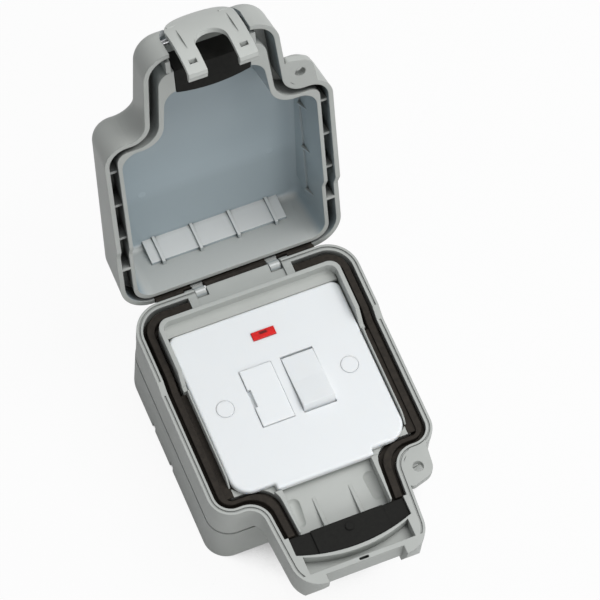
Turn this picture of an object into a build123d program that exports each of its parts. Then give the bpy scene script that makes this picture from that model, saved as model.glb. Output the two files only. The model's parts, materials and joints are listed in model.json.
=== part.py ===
from build123d import *
import os
from math import radians, sin, sqrt, tan

# Weatherproof fused spur unit, lying on its back with its lid open.
# Millimetres. +Z points out of the front, +Y points to the hinge, +X to the right.
# The origin is on the wall face, under the middle of the white plate.

os.makedirs("parts", exist_ok=True)

# Plan shared by the front frame and the lid
half_width = 53.8
hinge_reach = 59.2
shoulder_reach = 48.0
tongue_reach = 92.5
shoulder_width = 19.9
tongue_narrowing = 3.2
hinge_corner_r = 15.0
shoulder_corner_r = 11.0
tongue_corner_r = 13.0
root_r = 7.5
largest_root_r = 11.0
smallest_r = 1.0

# Levels above the wall
box_depth = 26.0
box_seal_t = 1.2
tongue_base = 32.0
rim = 49.0
rim_step = 3.0
plate_above_rim = 2.0
lid_gap = 0.4
lid_depth = 34.0

# Step in the parting line, higher on the hinge side
step_y = 19.5
step_run = 6.0

# Walls, clearances and drafts
box_wall = 2.5
box_draft = 0.3
box_set_in = 0.1
seal_set_in = 1.6
frame_wall = 2.8
frame_draft = 0.2
flange_set_out = 0.2
flange_height = 4.5
rim_width = 3.0
rim_groove = 0.8
rim_groove_depth = 0.6
lid_wall = 2.2
lid_skin = 2.0
lid_draft = 3.5
lid_front_r = 8.0
loose = 0.3
running = 0.05
through = 90.0

# Gasket channel and the inner lip of the frame
lip_t = 2.0
lip_set_in = 9.8
lip_hinge_set_in = 10.5
lip_shoulder_set_in = 8.5
lip_above_rim = 1.5
lip_step = 6.0
lip_under_plate = 0.4
low_lip_gap = 2.0
flap_t = 0.3
channel_depth = 6.0
seal_base_t = 2.5
bead_set_in = 1.6
bead_below_rim = 0.2

# Floor under the plate
floor_t = 2.5
plate_depth = 9.0
recess_corner_r = 4.0
aperture_gap = 1.0

# Hinge
axis_set_in = 1.0
axis_below_rim = 3.9
barrel_r = 2.8
knuckle_l = 5.0
barrel_half = 20.6
barrel_swing = 0.5
hinge_pin_r = 1.25
arm_gap = 0.5
arm_t = 4.0
arm_r = 3.0
peg_r = 2.0
peg_below_rim = 1.9
peg_set_in = 4.6
hinge_sill_drop = 1.0
lid_open_deg = 108.0

# Tongue of the frame: cable trough, seal pocket and catch
trough_side = 12.5
trough_drop = 2.0
trough_fall = 3.0
trough_rib_x = 8.7
trough_rib_t = 1.6
trough_rib_h = 2.4
trough_rib_from = -48.5
scoop_r = 3.2
scoop_side = 3.2
scoop_from = -51.5
scoop_l = 9.0
seal_to_end = 25.9
seal_pocket_l = 9.0
seal_pocket_side = 3.1
seal_pocket_bow = 5.0
arc_wall_t = 1.8
seal_pocket_depth = 9.0
end_pocket_depth = 6.0
end_pocket_side = 5.5
catch_side = 12.1
catch_set_in = 4.1
catch_t = 2.4
catch_height = 11.5
undercut = 3.0
end_slope = 3.9
catch_slot_l = 4.6
catch_slot_w = 1.3
catch_slot_depth = 3.0

# Padlock ears
ear_x = 14.3
ear_y = 8.0
ear_r = 6.6
ear_t = 3.5
ear_hole_r = 2.5
ear_root_r = 2.6
ear_root_x = 8.8
ear_root_y = 4.0
ear_foot_x = 0.7
ear_foot_y = 13.5

# Lid interior
inner_wall_t = 1.8
lid_channel_w = 3.9
lid_hinge_channel_w = 1.8
lid_shoulder_channel_w = 2.8
lid_channel_depth = 12.0
lid_rib_t = 1.4
lid_rib_recess = 2.5
lid_rib_pitch = 21.0
lid_rib_bite = 0.6
cavity_to_end = 22.5
cavity_floor_r = 4.0
cavity_corner_r = 8.0
front_fall = 10.2
ledge_up = 18.8
ledge_half = 33.0
ledge_t = 1.2
ledge_lean = 2.4
ledge_rib_pitch = 18.4
ledge_rib_t = 1.4
ledge_rib_h = 0.9
ledge_rib_over = 1.8
side_band_t = 1.0
side_band_from = -28.0
side_band_to = 38.0
wall_rib_t = 1.2
wall_rib_h = 0.9
wall_rib_l = 9.0
wall_rib_pitch = 28.0
wall_rib_mid = 10.0

# Latch
latch_gap = 2.6
latch_t = 2.4
latch_pocket_to_end = 11.0
latch_below_edge = 17.0
latch_foot_in = 2.6
latch_bulge = 2.1
latch_bulge_up = 4.6
latch_apex_in = 3.7
latch_side_top = 11.0
latch_apex = 23.6
latch_top_gap = 1.5
latch_notch_half = 7.4
latch_notch_h = 19.7
latch_hook = 2.6
latch_hook_h = 2.8
latch_window_l = 3.6
latch_window_h = 2.2
latch_window_up = 5.4
latch_groove_w = 0.9
latch_groove_depth = 0.6
latch_groove_from = 12.0
latch_groove_to = 27.0
latch_axis_in = 6.0
latch_axis_up = 13.6
latch_boss_r = 2.7
latch_boss_in = 4.0
latch_boss_t = 4.0
latch_pin_r = 1.25
latch_pin_over = 2.0
latch_release_deg = 6.5
cheek_t = 2.2
cheek_end_in = 4.5

# Rubber cable seals
cable_seal_half = 17.2
lid_seal_depth = 12.0
lid_seal_bow = 2.4
lid_seal_lap = 1.2
seal_rise = 1.2
seal_nub_r = 2.0
seal_nub_h = 0.6

# White plate
plate_gap = 0.5
plate_top = 41.2
plate_shoulder = 41.0
plate_bottom = 44.2
plate_tab_half = 23.2
plate_corner_r = 4.0
plate_low_corner_r = 9.0
plate_skin = 3.0
plate_edge_r = 1.2
plate_skirt_t = 2.0
plate_skirt_half = 38.5
plate_skirt_top = 39.2
plate_skirt_low = -35.6
screw_spacing = 60.3
screw_r = 1.7
screw_head_r = 3.3
screw_head_h = 2.4
screw_length = 18.0
cap_r = 4.0
cap_h = 2.4
cap_proud = 0.25
insert_r = 2.9
insert_l = 10.0
boss_wall = 1.6

# Rocker switch and fuse carrier openings
key_x = 10.05
key_half_w = 7.85
key_half_l = 14.5
key_gap = 0.25

# Rocker
rocker_axis_below = 4.5
rocker_r = 14.2
rocker_end_h = 6.2
rocker_dip = 0.4
rocker_under = 4.0
rocker_tilt_deg = 6.0
rocker_pin_r = 1.0
pole_offset = 4.0
stem_r = 2.6
stem_l = 9.0
plunger_r = 1.5
plunger_out = 1.6
plunger_in = 6.0

# Moving contacts of the switch
contact_axis_z = 31.5
contact_half = 8.5
contact_w = 4.2
contact_t = 0.8
contact_tilt_deg = 5.0
button_r = 1.5
button_h = 0.9
button_in = 1.8
knuckle_r = 0.9

# Fuse carrier and fuse
carrier_proud = 0.8
carrier_face_t = 5.0
carrier_notch_w = 9.0
carrier_notch_d = 1.4
carrier_notch_depth = 2.2
saddle_half_w = 5.2
saddle_half_l = 5.6
fuse_r = 3.1
fuse_cap_r = 3.2
fuse_body_half = 6.5
fuse_half = 12.7
fuse_z = 33.5
saddle_below_fuse = 4.0
clip_t = 0.7
clip_w = 5.0
clip_gap = 0.12
clip_above = 3.0

# Switch and fuse housing behind the plate
module_half = 24.0
module_low = -28.0
module_high = 33.0
module_bottom = 20.0
cell_floor = 27.0
cell_gap = 0.4

# Neon indicator
neon_y = 28.0
neon_half_l = 5.5
neon_half_w = 2.0
neon_proud = 0.4
neon_flange = 0.9
neon_flange_t = 1.4
neon_gap = 0.1
lamp_r = 2.0
lamp_half = 4.8
neon_cell_depth = 7.0

# Terminals on the back of the housing
terminal_y = -22.0
terminal_pitch = 9.5
terminal_w = 7.0
terminal_h = 9.0
terminal_gap = 0.2
wire_hole_r = 2.0
wire_hole_up = 5.5
terminal_screw_r = 1.7
terminal_head_r = 2.4
terminal_head_h = 2.2
terminal_screw_l = 4.0

# Frame screws and the posts of the back box
post_x = 32.2
post_high_y = 33.0
post_low_y = -29.5
post_r = 4.4
frame_screw_r = 1.95
frame_screw_l = 27.0
frame_head_r = 3.6
frame_head_h = 2.4
post_gap = 0.2

# Wall fixings and cable entry of the back box
wall_hole_r = 2.5
wall_spacing_x = 76.0
wall_spacing_y = 84.0
wall_hole_mid_y = 4.0
wall_pad_r = 6.0
wall_pad_h = 1.5
entry_r = 10.15
entry_z = 14.0
notch_w = 3.2
notch_h = 4.5
notch_depth = 1.0
notch_y = (2.0, 23.0)

# Levels worked out from the sizes above
frame_base = box_depth + box_seal_t
rim_high = rim + rim_step
plate_face = rim + plate_above_rim
plate_under = plate_face - plate_skin
floor_top = plate_face - plate_depth
floor_under = floor_top - floor_t
lip_low = rim + lip_above_rim
lip_high = lip_low + lip_step
channel_floor = rim - channel_depth
axis_y = hinge_reach - axis_set_in
axis_z = rim_high - axis_below_rim
tongue_root_half = half_width - shoulder_width
tongue_end_half = tongue_root_half - tongue_narrowing
trough_half = tongue_root_half - trough_side
scoop_x = trough_half - scoop_side
recess_half = half_width - lip_set_in - lip_t
plate_half = recess_half - plate_gap
low_lip_from = step_y - step_run / 2 - low_lip_gap
seal_near = tongue_reach - seal_to_end
seal_side = seal_near + seal_pocket_l
seal_half = tongue_end_half - seal_pocket_side
end_pocket_half = tongue_end_half - end_pocket_side
catch_half = tongue_end_half - catch_side
catch_face = tongue_reach - catch_set_in
end_pocket_to = catch_face - catch_t
undercut_to = end_pocket_to - undercut
latch_half = catch_half - latch_gap
latch_boss_x = latch_half - latch_boss_in
latch_groove_x = (latch_half + latch_notch_half) / 2
latch_pocket_end = tongue_reach - latch_pocket_to_end
latch_pin_half = catch_half + latch_pin_over
cavity_end = tongue_reach - cavity_to_end
padlock_x = half_width - ear_x
padlock_y = -shoulder_reach - ear_y
lid_edge = rim + lid_gap
lid_edge_high = rim_high + lid_gap
lid_front = lid_edge + lid_depth
cavity_floor = lid_front - lid_skin
flange_base = rim - flange_height
above_all = lid_front + through
hinge_axis = Axis((0, axis_y, axis_z), (1, 0, 0))


def open_pose(piece):
    """Turn a piece that was drawn with the lid closed to where the open lid holds it."""
    return piece.rotate(hinge_axis, -lid_open_deg)


def outline(level, side, hinge=None, shoulder=None, tongue=None, corner=smallest_r):
    """Plan of frame and lid at a level, drawn in by a set-in for each of its sides."""
    hinge = side if hinge is None else hinge
    shoulder = side if shoulder is None else shoulder
    tongue = side if tongue is None else tongue
    wide = half_width - side
    root = tongue_root_half - side
    end = tongue_end_half - side
    high = hinge_reach - hinge
    low = shoulder - shoulder_reach
    tip = tongue - tongue_reach
    high_r = max(hinge_corner_r - side, corner)
    low_r = max(shoulder_corner_r - side, corner)
    tip_r = max(tongue_corner_r - side, corner)
    inner_r = min(root_r + side, largest_root_r)
    corners = [(wide, high), (-wide, high), (-wide, low), (-root, low)]
    corners += [(-end, tip), (end, tip), (root, low), (wide, low)]
    radii = [high_r, high_r, low_r, inner_r, tip_r, tip_r, inner_r, low_r]
    with BuildSketch(Plane.XY.offset(level)) as plan:
        with BuildLine():
            FilletPolyline(*corners, radius=radii, close=True)
        make_face()
    return plan.sketch


def square_outline(level, side):
    """Plan of the square part of the frame and of the back box, without the tongue."""
    wide = half_width - side
    high = hinge_reach - side
    low = side - shoulder_reach
    high_r = max(hinge_corner_r - side, smallest_r)
    low_r = max(shoulder_corner_r - side, smallest_r)
    with BuildSketch(Plane.XY.offset(level)) as plan:
        with BuildLine():
            FilletPolyline(
                (wide, high),
                (-wide, high),
                (-wide, low),
                (wide, low),
                radius=[high_r, high_r, low_r, low_r],
                close=True,
            )
        make_face()
    return plan.sketch


def step_region(low, high, limit):
    """Side view of everything between the stepped parting line and a level."""
    far = 2 * tongue_reach
    with BuildSketch(Plane.YZ) as region:
        with BuildLine():
            Polyline(
                (-far, low),
                (step_y - step_run / 2, low),
                (step_y + step_run / 2, high),
                (far, high),
                (far, limit),
                (-far, limit),
                close=True,
            )
        make_face()
    return region.sketch


def ear_outline(level):
    """Plan of a padlock ear in the corner between shoulder and tongue."""
    with BuildSketch(Plane.XY.offset(level)) as plan:
        with Locations((padlock_x, padlock_y)):
            Circle(ear_r)
        with Locations(
            (half_width - ear_root_x, ear_root_y - shoulder_reach),
            (tongue_root_half + ear_foot_x, -shoulder_reach - ear_foot_y),
        ):
            Circle(ear_root_r)
        make_hull()
    return plan.sketch


def seal_pocket(level, gap):
    """Plan of the pocket for the cable seal, with its bowed far wall, drawn in by a gap."""
    half = seal_half - gap
    near = -seal_near - gap
    side = -seal_side + gap
    with BuildSketch(Plane.XY.offset(level)) as plan:
        with BuildLine():
            Polyline((-half, side), (-half, near), (half, near), (half, side))
            ThreePointArc((half, side), (0, side - seal_pocket_bow), (-half, side))
        make_face()
    return plan.sketch


def latch_shape(gap, top_gap, bottom):
    """Front view of the latch, or of its opening in the lid, at the end of the tongue."""
    half = latch_half + gap
    shoulder = lid_edge + latch_side_top
    apex = lid_edge + latch_apex + top_gap
    with BuildSketch(Plane.XZ) as view:
        with BuildLine():
            Polyline((-half, shoulder), (-half, bottom), (half, bottom), (half, shoulder))
            ThreePointArc((half, shoulder), (0, apex), (-half, shoulder))
        make_face()
    return view.sketch


# Back box, fixed to the wall
with BuildPart() as back_box:
    extrude(square_outline(box_depth, box_set_in), amount=-box_depth, taper=box_draft)
    inside = square_outline(box_depth, box_set_in + box_wall)
    extrude(inside, amount=-(box_depth - box_wall), taper=box_draft, mode=Mode.SUBTRACT)
    posts = [(x, y) for x in (-post_x, post_x) for y in (post_low_y, post_high_y)]
    with BuildSketch(Plane.XY.offset(box_wall)):
        with Locations(*posts):
            Circle(post_r)
    extrude(amount=frame_base - post_gap - box_wall)
    with BuildSketch(Plane.XY.offset(box_wall)):
        with Locations((0, wall_hole_mid_y)):
            with GridLocations(wall_spacing_x, wall_spacing_y, 2, 2):
                Circle(wall_pad_r)
    extrude(amount=wall_pad_h)
    with BuildSketch(Plane.XY.offset(2 * box_wall)):
        with Locations(*posts):
            Circle(frame_screw_r + running)
    extrude(amount=through, mode=Mode.SUBTRACT)
    with BuildSketch():
        with Locations((0, wall_hole_mid_y)):
            with GridLocations(wall_spacing_x, wall_spacing_y, 2, 2):
                Circle(wall_hole_r)
    extrude(amount=box_wall + wall_pad_h, mode=Mode.SUBTRACT)
    with BuildSketch(Plane.XZ):
        with Locations((0, entry_z)):
            Circle(entry_r)
    extrude(amount=through, mode=Mode.SUBTRACT)
    base_half = half_width - box_set_in - box_depth * tan(radians(box_draft))
    for y in notch_y:
        for x in (-base_half, base_half):
            with Locations((x, y, notch_h / 2)):
                Box(2 * notch_depth, notch_w, notch_h, mode=Mode.SUBTRACT)
back_box.part.label = "back_box"

# Flat seal between the back box and the front frame
with BuildPart() as box_seal:
    extrude(square_outline(box_depth, seal_set_in), amount=box_seal_t)
    extrude(square_outline(box_depth, box_set_in + box_wall), amount=box_seal_t, mode=Mode.SUBTRACT)
box_seal.part.label = "box_seal"

# Front frame: walls, flange, gasket channel, inner lip, plate recess, tongue and hinge arms
with BuildPart() as front_frame:
    extrude(outline(rim, flange_set_out), amount=tongue_base - rim, taper=frame_draft)
    extrude(square_outline(rim, flange_set_out), amount=frame_base - rim, taper=frame_draft)
    extrude(outline(flange_base, 0), amount=rim_high - flange_base)
    extrude(step_region(rim, rim_high, above_all), amount=through, both=True, mode=Mode.SUBTRACT)

    # Gasket channel, left full at the hinge
    with BuildSketch(Plane.XY.offset(channel_floor)):
        add(outline(0, rim_width))
        add(outline(0, lip_set_in, lip_hinge_set_in, lip_shoulder_set_in), mode=Mode.SUBTRACT)
        with Locations((0, hinge_reach)):
            Rectangle(2 * (barrel_half + arm_gap + arm_t), hinge_reach, mode=Mode.SUBTRACT)
        with Locations((0, -seal_near)):
            Rectangle(through, through, align=(Align.CENTER, Align.MAX), mode=Mode.SUBTRACT)
    extrude(amount=through, mode=Mode.SUBTRACT)

    # Inner lip, high on the hinge side and low beside the rest of the plate
    with BuildSketch(Plane.XY.offset(floor_under)):
        add(outline(0, lip_set_in, lip_hinge_set_in, lip_shoulder_set_in))
        with Locations((0, -seal_near)):
            Rectangle(through, through, align=(Align.CENTER, Align.MAX), mode=Mode.SUBTRACT)
    extrude(amount=lip_high - floor_under)
    extrude(step_region(lip_low, lip_high, above_all), amount=through, both=True, mode=Mode.SUBTRACT)
    lip_cut = plate_under - lip_under_plate
    with BuildSketch(Plane.YZ):
        with Locations((low_lip_from, lip_cut)):
            Rectangle(
                low_lip_from + plate_bottom + plate_gap,
                through,
                align=(Align.MAX, Align.MIN),
            )
    extrude(amount=half_width - lip_set_in, both=True, mode=Mode.SUBTRACT)
    with BuildSketch(Plane.XY.offset(floor_top)):
        recess_high = hinge_reach - lip_hinge_set_in - lip_t
        recess_low = lip_shoulder_set_in + lip_t - shoulder_reach
        with Locations((0, (recess_high + recess_low) / 2)):
            RectangleRounded(2 * recess_half, recess_high - recess_low, recess_corner_r)
    extrude(amount=through, mode=Mode.SUBTRACT)

    # Hollow underside and the opening for the switch housing
    hollow_set_in = flange_set_out + frame_wall
    extrude(
        square_outline(frame_base, hollow_set_in),
        amount=floor_under - frame_base,
        mode=Mode.SUBTRACT,
    )
    with BuildSketch(Plane.XY.offset(floor_under)):
        with Locations((0, (module_high + module_low) / 2)):
            Rectangle(
                2 * (module_half + aperture_gap),
                module_high - module_low + 2 * aperture_gap,
            )
    extrude(amount=floor_t, mode=Mode.SUBTRACT)

    # Bosses for the frame screws and for the plate's threaded inserts
    with BuildSketch(Plane.XY.offset(frame_base)):
        with Locations(*posts):
            Circle(post_r)
    extrude(amount=floor_under - frame_base)
    with BuildSketch(Plane.XY.offset(floor_top - insert_l)):
        with GridLocations(screw_spacing, 0, 2, 1):
            Circle(insert_r + boss_wall)
    extrude(amount=insert_l - floor_t)
    with BuildSketch(Plane.XY.offset(frame_base)):
        with Locations(*posts):
            Circle(frame_screw_r + running)
        with GridLocations(screw_spacing, 0, 2, 1):
            Circle(insert_r + running)
    extrude(amount=floor_top - frame_base, mode=Mode.SUBTRACT)

    # Cable trough with two guide ribs and a scoop at each side wall
    trough_top = plate_under - trough_drop
    trough_end = trough_top - trough_fall
    with BuildSketch(Plane.YZ):
        with BuildLine():
            Polyline(
                (recess_low, trough_top),
                (-seal_near, trough_end),
                (-seal_near, above_all),
                (recess_low, above_all),
                close=True,
            )
        make_face()
    extrude(amount=trough_half, both=True, mode=Mode.SUBTRACT)
    for x in (-trough_rib_x, trough_rib_x):
        with BuildSketch(Plane.YZ.offset(x)):
            with BuildLine():
                Polyline(
                    (trough_rib_from, trough_end),
                    (trough_rib_from, trough_top - trough_fall / 2),
                    (-seal_near, trough_end + trough_rib_h),
                    (-seal_near, trough_end),
                    close=True,
                )
            make_face()
        extrude(amount=trough_rib_t / 2, both=True)
    for x in (-scoop_x, scoop_x):
        scoop_z = trough_top - trough_fall / 2 + scoop_r / 2
        with Locations((x, scoop_from, scoop_z), (x, scoop_from - scoop_l, scoop_z)):
            Sphere(scoop_r, mode=Mode.SUBTRACT)
        with BuildSketch(Plane.XZ.offset(-scoop_from)):
            with Locations((x, scoop_z)):
                Circle(scoop_r)
        extrude(amount=scoop_l, mode=Mode.SUBTRACT)

    # Seal pocket, bowed wall, end pocket and the catch for the latch
    extrude(seal_pocket(rim - seal_pocket_depth, 0), amount=through, mode=Mode.SUBTRACT)
    bow_side = -seal_side - arc_wall_t
    with BuildSketch(Plane.XY.offset(rim - end_pocket_depth)):
        with BuildLine():
            Polyline(
                (-end_pocket_half, bow_side),
                (-end_pocket_half, -end_pocket_to),
                (end_pocket_half, -end_pocket_to),
                (end_pocket_half, bow_side),
            )
            ThreePointArc(
                (end_pocket_half, bow_side),
                (0, bow_side - seal_pocket_bow),
                (-end_pocket_half, bow_side),
            )
        make_face()
    extrude(amount=through, mode=Mode.SUBTRACT)
    with BuildSketch(Plane.YZ):
        with Locations((-catch_face, rim - catch_height)):
            Rectangle(through, 2 * through, align=(Align.MAX, Align.CENTER))
        with Locations((-undercut_to, rim - catch_height)):
            Rectangle(through, through, align=(Align.MAX, Align.MAX))
    extrude(amount=catch_half, both=True, mode=Mode.SUBTRACT)
    with BuildSketch(Plane.YZ):
        with BuildLine():
            Polyline(
                (-tongue_reach, flange_base),
                (end_slope - tongue_reach, tongue_base),
                (-2 * tongue_reach, tongue_base),
                (-2 * tongue_reach, flange_base),
                close=True,
            )
        make_face()
    extrude(amount=half_width, both=True, mode=Mode.SUBTRACT)
    with BuildSketch(Plane.XY.offset(rim - catch_slot_depth)):
        with Locations((0, -(catch_face + end_pocket_to) / 2)):
            SlotOverall(catch_slot_l, catch_slot_w)
    extrude(amount=through, mode=Mode.SUBTRACT)

    # Fine groove along the rim
    with BuildSketch(Plane.XY.offset(rim - rim_groove_depth)):
        add(outline(0, (rim_width - rim_groove) / 2))
        add(outline(0, (rim_width + rim_groove) / 2), mode=Mode.SUBTRACT)
        with Locations((0, step_y - step_run / 2)):
            Rectangle(2 * through, 2 * through, align=(Align.CENTER, Align.MIN), mode=Mode.SUBTRACT)
        with Locations((0, -end_pocket_to)):
            Rectangle(through, through, align=(Align.CENTER, Align.MAX), mode=Mode.SUBTRACT)
    extrude(amount=through, mode=Mode.SUBTRACT)
    with BuildSketch(Plane.XY.offset(rim_high - rim_groove_depth)):
        add(outline(0, (rim_width - rim_groove) / 2))
        add(outline(0, (rim_width + rim_groove) / 2), mode=Mode.SUBTRACT)
        with Locations((0, step_y + step_run / 2)):
            Rectangle(2 * through, 2 * through, align=(Align.CENTER, Align.MAX), mode=Mode.SUBTRACT)
    extrude(amount=through, mode=Mode.SUBTRACT)

    # Hinge: a sill, room for the lid's knuckles, and two arms that carry the pins
    swing_r = barrel_r + barrel_swing
    with BuildSketch(Plane.YZ):
        with Locations((hinge_reach - lip_hinge_set_in, rim_high - hinge_sill_drop)):
            Rectangle(through, through, align=(Align.MIN, Align.MIN))
    extrude(amount=barrel_half + arm_gap, both=True, mode=Mode.SUBTRACT)
    for x in (-barrel_half - arm_gap, barrel_half - knuckle_l - arm_gap):
        with BuildSketch(Plane.YZ.offset(x)):
            with Locations((axis_y - swing_r, axis_z - swing_r)):
                Rectangle(through, through, align=(Align.MIN, Align.MIN))
        extrude(amount=knuckle_l + 2 * arm_gap, mode=Mode.SUBTRACT)
    for x in (-barrel_half - arm_gap - arm_t, barrel_half + arm_gap):
        with BuildSketch(Plane.YZ.offset(x)):
            with Locations((axis_y, axis_z)):
                Circle(arm_r)
            with Locations((hinge_reach - peg_set_in, rim_high - peg_below_rim)):
                Circle(peg_r)
            make_hull()
        extrude(amount=arm_t)
        with BuildSketch(Plane.YZ.offset(x)):
            with Locations((axis_y, axis_z)):
                Circle(hinge_pin_r + running)
        extrude(amount=arm_t, mode=Mode.SUBTRACT)

    # Padlock ear
    with BuildSketch(Plane.XY.offset(rim - ear_t)):
        add(ear_outline(0))
        add(outline(0, rim_width / 2), mode=Mode.SUBTRACT)
        with Locations((padlock_x, padlock_y)):
            Circle(ear_hole_r, mode=Mode.SUBTRACT)
    extrude(amount=ear_t)
front_frame.part.label = "front_frame"

# Gasket in the channel, with a raised bead
with BuildPart() as rim_seal:
    for level, side, rise in (
        (channel_floor, 0, seal_base_t),
        (channel_floor + seal_base_t, bead_set_in, rim_high - bead_below_rim - channel_floor - seal_base_t),
    ):
        with BuildSketch(Plane.XY.offset(level)):
            add(outline(0, rim_width + loose + side))
            inner_gap = loose + side
            add(
                outline(
                    0,
                    lip_set_in - inner_gap,
                    lip_hinge_set_in - inner_gap,
                    lip_shoulder_set_in - inner_gap,
                ),
                mode=Mode.SUBTRACT,
            )
            with Locations((0, hinge_reach)):
                Rectangle(
                    2 * (barrel_half + arm_gap + arm_t + loose), hinge_reach, mode=Mode.SUBTRACT
                )
            with Locations((0, -seal_near + loose)):
                Rectangle(through, through, align=(Align.CENTER, Align.MAX), mode=Mode.SUBTRACT)
        extrude(amount=rise)
    flap_low = lip_shoulder_set_in - shoulder_reach
    with BuildSketch(Plane.XY.offset(lip_cut)):
        with Locations((0, low_lip_from - loose)):
            Rectangle(
                2 * (half_width - lip_set_in + 2 * bead_set_in),
                low_lip_from - loose - flap_low,
                align=(Align.CENTER, Align.MAX),
            )
        with Locations((0, (recess_high + recess_low) / 2)):
            RectangleRounded(
                2 * recess_half, recess_high - recess_low, recess_corner_r, mode=Mode.SUBTRACT
            )
        with Locations((0, recess_low)):
            Rectangle(2 * recess_half, 2 * lip_t, mode=Mode.SUBTRACT)
    extrude(amount=flap_t)
    extrude(
        step_region(rim - bead_below_rim, rim_high - bead_below_rim, above_all),
        amount=through,
        both=True,
        mode=Mode.SUBTRACT,
    )
rim_seal.part.label = "rim_seal"

# Rubber cable seal across the tongue of the frame
with BuildPart() as cable_seal:
    seal_floor = rim - seal_pocket_depth
    extrude(seal_pocket(seal_floor, loose), amount=seal_pocket_depth - seal_rise)
    with BuildSketch(Plane.XY.offset(seal_floor)):
        add(seal_pocket(0, loose))
        Rectangle(2 * cable_seal_half, 2 * tongue_reach, mode=Mode.INTERSECT)
    extrude(amount=seal_pocket_depth - lid_gap)
    with BuildSketch(Plane.XY.offset(rim - lid_gap)):
        with Locations((0, -(seal_near + seal_side) / 2)):
            Circle(seal_nub_r)
    extrude(amount=seal_nub_h)
cable_seal.part.label = "cable_seal"

# Side view of the lid's front, which falls towards the tongue
lean = tan(radians(lid_draft))
front_slope = front_fall / (hinge_reach + shoulder_reach)


def front_profile(depth):
    """Side view of everything in front of the lid's skin, or of a copy set back by a depth."""
    far = tongue_reach + hinge_reach
    top = lid_front - depth
    with BuildSketch(Plane.YZ) as region:
        with BuildLine():
            Polyline(
                (far, top + (far - hinge_reach) * front_slope),
                (-far, top - (far + hinge_reach) * front_slope),
                (-far, 2 * lid_front),
                (far, 2 * lid_front),
                close=True,
            )
        make_face()
    return region.sketch


# Space inside the lid: ledge and ribs on its hinge wall, bands and ribs on its side walls
with BuildPart() as lid_space:
    wall_in = lid_wall + lid_channel_w + inner_wall_t
    hinge_in = lid_wall + lid_hinge_channel_w + inner_wall_t
    shoulder_in = lid_wall + lid_shoulder_channel_w + inner_wall_t
    extrude(
        outline(lid_edge, wall_in, hinge_in, shoulder_in, cavity_to_end, cavity_corner_r),
        amount=lid_depth - lid_skin,
        taper=lid_draft,
    )
    extrude(front_profile(lid_skin), amount=through, both=True, mode=Mode.SUBTRACT)
    fillet(lid_space.faces().filter_by(lambda face: face.normal_at().Z > 0.9).edges(), cavity_floor_r)
    step_z = lid_edge + ledge_up
    rib_low = step_z - ledge_rib_over
    wall_y = hinge_reach - hinge_in
    low_y = wall_y - ledge_up * lean - ledge_t
    high_y = low_y - (cavity_floor - step_z) * lean - ledge_lean
    with BuildSketch(Plane.YZ):
        with BuildLine():
            Polyline(
                (low_y, step_z),
                (high_y, cavity_floor),
                (hinge_reach, cavity_floor),
                (hinge_reach, step_z),
                close=True,
            )
        make_face()
    extrude(amount=ledge_half, both=True, mode=Mode.SUBTRACT)
    for x in [n * ledge_rib_pitch / 2 for n in (-3, -1, 1, 3)]:
        with BuildSketch(Plane.YZ.offset(x)):
            with BuildLine():
                Polyline(
                    (low_y - ledge_rib_h, rib_low),
                    (high_y - ledge_rib_h, cavity_floor),
                    (hinge_reach, cavity_floor),
                    (hinge_reach, rib_low),
                    close=True,
                )
            make_face()
        extrude(amount=ledge_rib_t / 2, both=True, mode=Mode.SUBTRACT)
    wall_x = half_width - wall_in
    band_x = wall_x - ledge_up * lean - side_band_t
    band_top_x = band_x - (cavity_floor - step_z) * lean
    rib_foot = step_z - wall_rib_l
    rib_foot_x = wall_x - (rib_foot - lid_edge) * lean
    for x in (-1, 1):
        with BuildSketch(Plane.XZ.offset(-side_band_to)):
            with BuildLine():
                Polyline(
                    (x * band_x, step_z),
                    (x * band_top_x, cavity_floor),
                    (x * half_width, cavity_floor),
                    (x * half_width, step_z),
                    close=True,
                )
            make_face()
        extrude(amount=side_band_to - side_band_from, mode=Mode.SUBTRACT)
        for y in (wall_rib_mid - wall_rib_pitch, wall_rib_mid, wall_rib_mid + wall_rib_pitch):
            with BuildSketch(Plane.XZ.offset(-y)):
                with BuildLine():
                    Polyline(
                        (x * (rib_foot_x + wall_rib_h), rib_foot),
                        (x * (band_x - wall_rib_h), step_z),
                        (x * half_width, step_z),
                        (x * half_width, rib_foot),
                        close=True,
                    )
                make_face()
            extrude(amount=wall_rib_t / 2, both=True, mode=Mode.SUBTRACT)

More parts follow.
